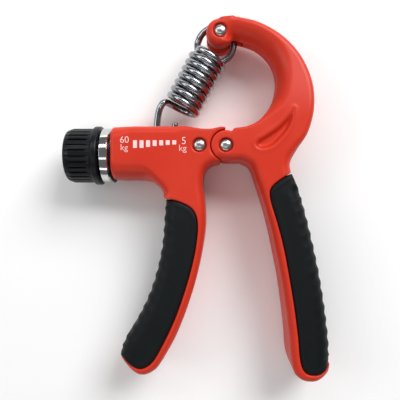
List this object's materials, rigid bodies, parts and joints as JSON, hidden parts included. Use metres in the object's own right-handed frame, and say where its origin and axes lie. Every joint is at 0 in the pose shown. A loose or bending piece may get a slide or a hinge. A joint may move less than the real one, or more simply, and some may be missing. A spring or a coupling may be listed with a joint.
{
  "type": "hand grip strengthener",
  "caption": "Adjustable hand grip exerciser: hinged moulded handles with rubber grips, an extension spring on a hook arm and a screw knob that sets the resistance.",
  "frame": {"origin": "middle of the object's box, on the back faces of the two grips, which it lies on", "axes": "+Z out of the front face, +Y towards the top of the hook, +X away from the adjuster knob"},
  "size_m": [0.1124, 0.154, 0.026],
  "materials": {
    "body_plastic": "moulded, semi-gloss red-orange",
    "grip_rubber": "satin black thermoplastic rubber",
    "knob_plastic": "moulded black",
    "chrome": "bright plated",
    "steel": "zinc plated",
    "spring_steel": "plated spring wire"
  },
  "bodies": {
    "left_side": {"left_handle": "body_plastic", "left_grip": "grip_rubber", "barrel_collar": "chrome", "collar_gasket": "knob_plastic", "hinge_link": "steel", "link_rivet": "chrome", "link_rivet_washer": "steel"},
    "adjuster": {"knob": "knob_plastic", "knob_end_cap": "knob_plastic", "adjusting_screw": "steel", "thrust_washer": "steel", "screw_lock_nut": "steel"},
    "carriage_block": {"carriage": "knob_plastic"},
    "foot_pin": {"carriage_pin": "steel"},
    "spring_foot_half": {"spring_lower": "spring_steel"},
    "spring_top_half": {"spring_upper": "spring_steel"},
    "hinge_pin": {"pivot_rivet": "chrome", "pivot_rivet_washer": "steel"},
    "right_side": {"right_handle": "body_plastic", "right_grip": "grip_rubber", "spring_rivet": "chrome", "spring_rivet_washer": "steel"}
  },
  "joints": [
    {"name": "knob_turn", "type": "hinge", "parent": "left_side", "child": "adjuster", "pos_m": [-0.035, 0.01857, 0.013], "axis": [-1, 0, 0], "range_deg": [-4464, 1512]},
    {"name": "carriage_slide", "type": "slide", "parent": "left_side", "child": "carriage_block", "axis": [1, 0, 0], "range_m": [-0.01241, 0.00421]},
    {"name": "handle_set", "type": "hinge", "parent": "hinge_pin", "child": "left_side", "pos_m": [0.01232, 0.02197, 0.013], "axis": [0, 0, 1], "range_deg": [-12.41, 4.21]},
    {"name": "squeeze", "type": "hinge", "parent": "hinge_pin", "child": "right_side", "pos_m": [0.01232, 0.02197, 0.013], "axis": [0, 0, -1], "range_deg": [0, 26], "stiffness_Nm_per_rad": 24},
    {"name": "spring_tilt", "type": "hinge", "parent": "carriage_block", "child": "foot_pin", "pos_m": [-0.01378, 0.02707, 0.013], "axis": [0, 0, -1], "range_deg": [-0.85, 2.49]},
    {"name": "spring_swing", "type": "hinge", "parent": "foot_pin", "child": "spring_foot_half", "pos_m": [-0.01378, 0.02707, 0.013], "axis": [0, 0, -1], "range_deg": [0, 20.6], "deforming": ["spring_lower"]},
    {"name": "spring_stretch", "type": "slide", "parent": "spring_foot_half", "child": "spring_top_half", "axis": [0.4776, 0.8786, 0], "range_m": [0, 0.01022], "deforming": ["spring_upper"]}
  ],
  "couplings": [
    {"joint": "carriage_slide", "follows": "knob_turn", "m_per_rad": 0.00015915},
    {"joint": "handle_set", "follows": "knob_turn", "ratio": 0.0027778},
    {"joint": "spring_tilt", "follows": "knob_turn", "ratio": -0.00055556},
    {"joint": "spring_swing", "follows": "squeeze", "ratio": 0.79},
    {"joint": "spring_stretch", "follows": "squeeze", "m_per_rad": 0.0225}
  ]
}
